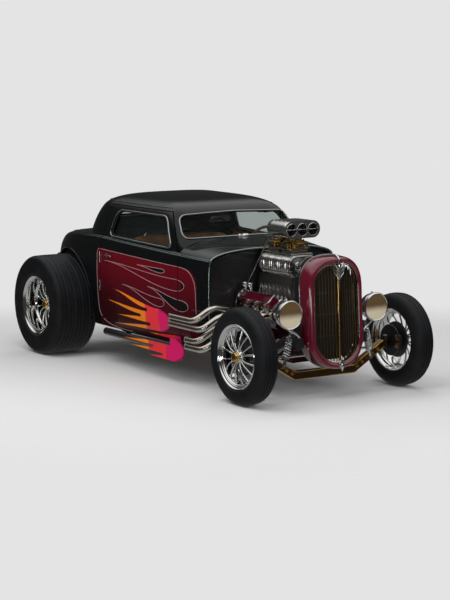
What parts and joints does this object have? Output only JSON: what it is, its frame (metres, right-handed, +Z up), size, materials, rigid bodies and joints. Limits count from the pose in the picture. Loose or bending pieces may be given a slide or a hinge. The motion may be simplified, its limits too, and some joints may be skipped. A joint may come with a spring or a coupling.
{
  "type": "hot rod coupe",
  "caption": "Chopped three-window coupe hot rod with an exposed supercharged V8, solid drilled front axle, wide rear tyres, outside header pipes and painted flames.",
  "frame": {"origin": "on the ground, midway between the tail's end and the front of the front tyres, on the car's middle plane", "axes": "+X points forward, +Y to the car's left, +Z up"},
  "size_m": [3.8547, 1.945, 1.4202],
  "materials": {
    "black_paint": "gloss",
    "candy_red": "gloss",
    "maroon_paint": "gloss",
    "flame_paint": "gloss",
    "chassis_black": "satin",
    "chrome": "polished",
    "polished_alloy": "polished",
    "bronze": "satin",
    "brass": "polished",
    "cast_iron": "rough",
    "steel": "satin",
    "glass": "clear",
    "lamp_glass": "clear",
    "red_lens": "gloss",
    "leather": "soft",
    "tyre": "matte"
  },
  "bodies": {
    "body": {"frame_rail_right": "chassis_black", "frame_rail_left": "chassis_black", "crossmembers": "chassis_black", "front_axle": "bronze", "front_radius_rods": "chrome", "front_coilovers": "chrome", "rear_axle": "cast_iron", "rear_ladder_bars": "chrome", "rear_coilovers": "chrome", "engine_block": "cast_iron", "valve_covers": "maroon_paint", "intake_manifold": "polished_alloy", "blower": "polished_alloy", "blower_drive": "polished_alloy", "carburettors": "brass", "air_scoop": "chrome", "headers_right": "chrome", "headers_left": "chrome", "transmission": "cast_iron", "driveshaft": "steel", "cowl": "black_paint", "firewall": "black_paint", "floor_pan": "chassis_black", "boot_floor": "chassis_black", "roof": "black_paint", "rear_body": "black_paint", "wheel_tubs": "chassis_black", "windshield_glass": "glass", "rear_glass": "glass", "dashboard": "candy_red", "seat_cushion": "leather", "seat_back": "leather", "steering_column": "chrome", "side_pipes": "black_paint", "flame_skirts": "flame_paint", "grille_shell": "candy_red", "grille_bars": "bronze", "radiator": "chassis_black", "headlights": "brass", "headlight_lenses": "lamp_glass", "taillights": "red_lens", "tow_eye": "steel"},
    "door_right": {"door_right": "maroon_paint", "door_glass_right": "glass"},
    "door_left": {"door_left": "maroon_paint", "door_glass_left": "glass"},
    "deck_lid": {"deck_lid": "black_paint"},
    "steering_wheel": {"steering_wheel": "leather"},
    "knuckle_right": {"knuckle_right": "steel"},
    "knuckle_left": {"knuckle_left": "steel"},
    "tie_rod": {"tie_rod": "chrome"},
    "pitman_arm": {"pitman_arm": "steel"},
    "wheel_front_right": {"front_wheel_right": "chrome", "front_tyre_right": "tyre"},
    "wheel_front_left": {"front_wheel_left": "chrome", "front_tyre_left": "tyre"},
    "wheel_rear_right": {"rear_wheel_right": "chrome", "rear_tyre_right": "tyre"},
    "wheel_rear_left": {"rear_wheel_left": "chrome", "rear_tyre_left": "tyre"}
  },
  "joints": [
    {"name": "steer_right", "type": "hinge", "parent": "body", "child": "knuckle_right", "pos_m": [1.565, -0.6, 0.362], "axis": [0, 0, 1], "range_deg": [-28, 28]},
    {"name": "steer_left", "type": "hinge", "parent": "body", "child": "knuckle_left", "pos_m": [1.565, 0.6, 0.362], "axis": [0, 0, 1], "range_deg": [-28, 28]},
    {"name": "tie_rod_pivot", "type": "hinge", "parent": "knuckle_right", "child": "tie_rod", "pos_m": [1.415, -0.6, 0.29], "axis": [0, 0, 1], "range_deg": [-28, 28]},
    {"name": "pitman_turn", "type": "hinge", "parent": "body", "child": "pitman_arm", "pos_m": [1.565, 0.215, 0.29], "axis": [0, 0, 1], "range_deg": [-28, 28]},
    {"name": "steering_wheel_turn", "type": "hinge", "parent": "body", "child": "steering_wheel", "pos_m": [0.258, 0.345, 1.005], "axis": [-0.9135, 0, 0.4067], "range_deg": [-224, 224]},
    {"name": "door_right_swing", "type": "hinge", "parent": "body", "child": "door_right", "pos_m": [-0.6405, -0.684, 0.7], "axis": [0, 0, -1], "range_deg": [0, 60]},
    {"name": "door_left_swing", "type": "hinge", "parent": "body", "child": "door_left", "pos_m": [-0.6405, 0.684, 0.7], "axis": [0, 0, 1], "range_deg": [0, 60]},
    {"name": "deck_lid_lift", "type": "hinge", "parent": "body", "child": "deck_lid", "pos_m": [-1.181, 0, 1.074], "axis": [0, 1, 0], "range_deg": [0, 45]},
    {"name": "wheel_front_right_spin", "type": "hinge", "parent": "knuckle_right", "child": "wheel_front_right", "pos_m": [1.565, -0.725, 0.362], "axis": [0, 1, 0], "continuous": true},
    {"name": "wheel_front_left_spin", "type": "hinge", "parent": "knuckle_left", "child": "wheel_front_left", "pos_m": [1.565, 0.725, 0.362], "axis": [0, 1, 0], "continuous": true},
    {"name": "wheel_rear_right_spin", "type": "hinge", "parent": "body", "child": "wheel_rear_right", "pos_m": [-1.28, -0.7725, 0.425], "axis": [0, 1, 0], "continuous": true},
    {"name": "wheel_rear_left_spin", "type": "hinge", "parent": "body", "child": "wheel_rear_left", "pos_m": [-1.28, 0.7725, 0.425], "axis": [0, 1, 0], "continuous": true}
  ],
  "couplings": [
    {"joint": "steer_left", "follows": "steer_right", "ratio": 1},
    {"joint": "tie_rod_pivot", "follows": "steer_right", "ratio": -1},
    {"joint": "pitman_turn", "follows": "steer_right", "ratio": 1},
    {"joint": "steering_wheel_turn", "follows": "steer_right", "ratio": 8}
  ]
}
